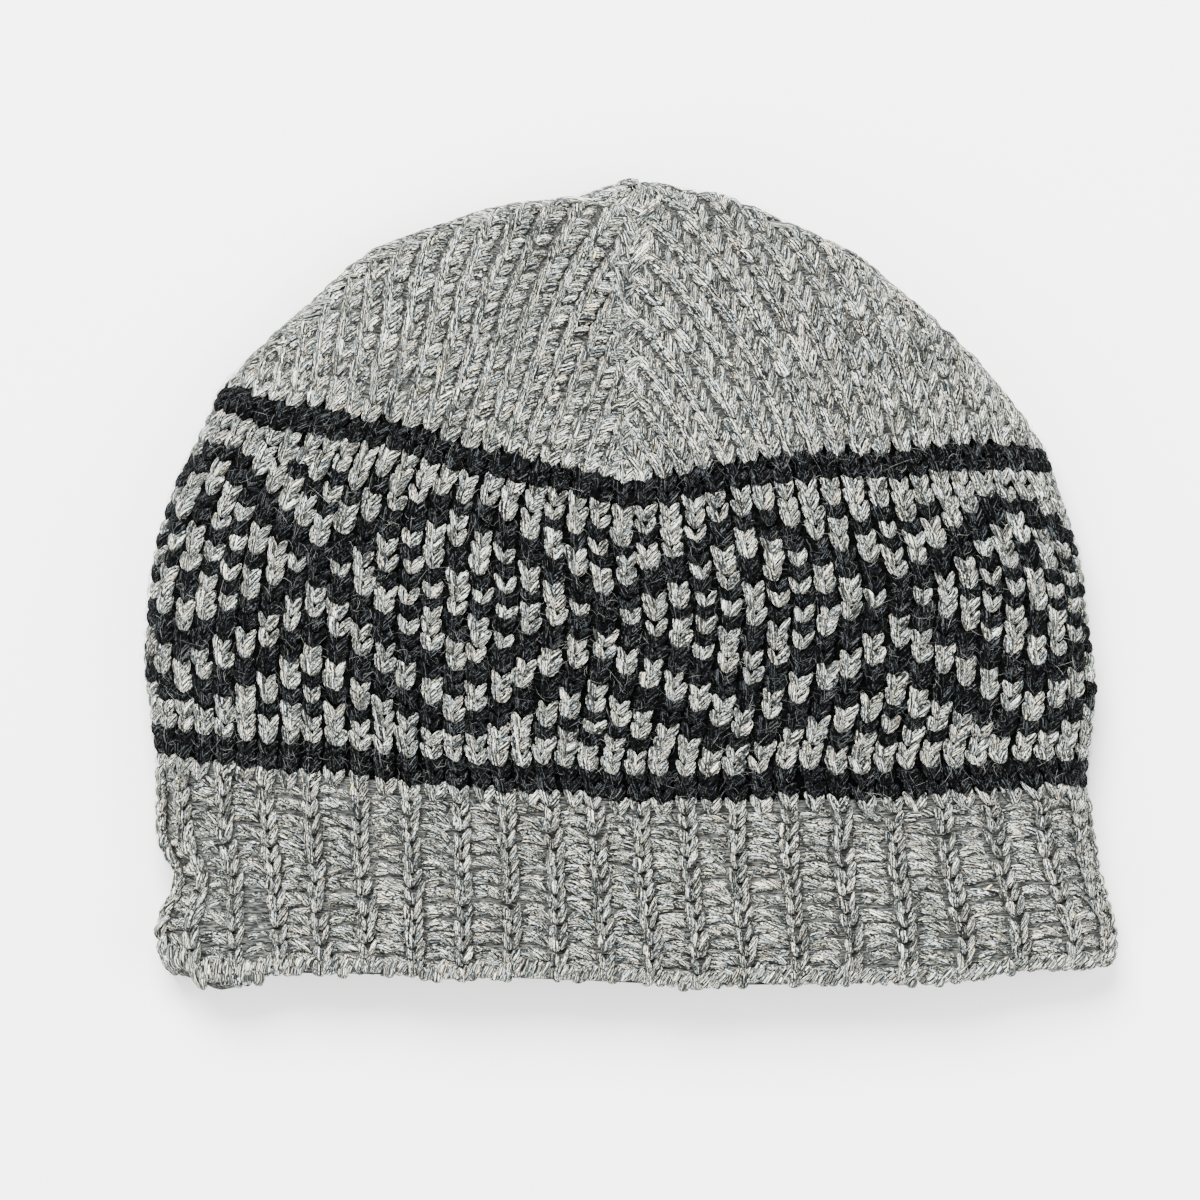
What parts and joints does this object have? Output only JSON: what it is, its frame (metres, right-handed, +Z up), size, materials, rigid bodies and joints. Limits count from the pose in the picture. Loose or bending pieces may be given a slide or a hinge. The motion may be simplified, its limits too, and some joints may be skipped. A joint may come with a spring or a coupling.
{
  "type": "knitted wool beanie",
  "caption": "Thick knitted hat lying flat, hollow from its ribbed brim to its tip, with a two-colour lattice band between dark stripes and a plain rounded crown.",
  "frame": {"origin": "on the surface the hat lies on, under the middle of its outline, below the patterned band", "axes": "+X across the lying hat to the right as seen from above, +Y from the hem towards the tip of the crown, +Z up from the surface it lies on, out of its front"},
  "size_m": [0.2462, 0.205, 0.028],
  "materials": {
    "heather_grey_wool": "matt bulky wool yarn in heather grey, knitted, with a light fuzz",
    "black_wool": "matt bulky wool yarn in black, knitted, with a light fuzz",
    "two_colour_wool": "stranded knitting of the grey and the black wool in a traditional lattice"
  },
  "bodies": {
    "root": {"ribbed_brim": "heather_grey_wool", "lower_stripe": "black_wool", "patterned_band": "two_colour_wool", "upper_stripe": "black_wool", "crown": "heather_grey_wool"}
  },
  "joints": []
}
